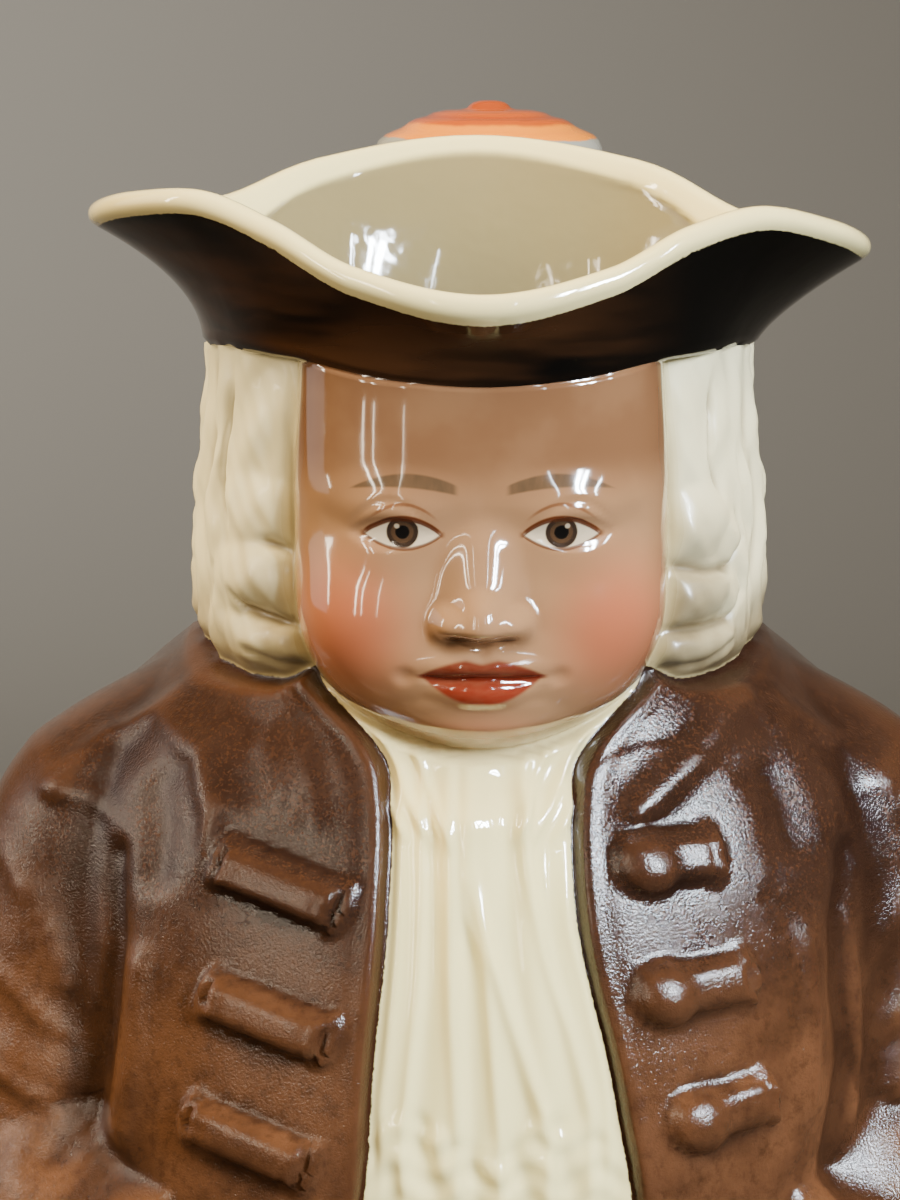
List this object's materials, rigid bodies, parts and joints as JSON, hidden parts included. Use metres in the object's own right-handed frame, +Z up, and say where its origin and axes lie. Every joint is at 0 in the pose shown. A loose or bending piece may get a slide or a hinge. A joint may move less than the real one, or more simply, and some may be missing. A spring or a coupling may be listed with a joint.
{
  "type": "toby jug",
  "caption": "Hollow glazed pottery jug shaped as a half-length man in a cocked hat, wig and long coat, the hat forming the pouring mouth, with a strap handle behind.",
  "frame": {"origin": "middle of the flat underside, in the plane that the jug stands on, under the axis of the hat's mouth", "axes": "+Z up through the hat; the figure's face and coat front look along -Y; the handle stands at +Y; +X is towards the figure's left hand"},
  "size_m": [0.1379, 0.1458, 0.178],
  "materials": {
    "glaze": "glossy clear glaze over painted decoration: chestnut-brown coat, ivory neckcloth, wig and inside, black hat with a white rim, flesh-coloured face"
  },
  "bodies": {
    "root": {"jug": "glaze"}
  },
  "joints": []
}
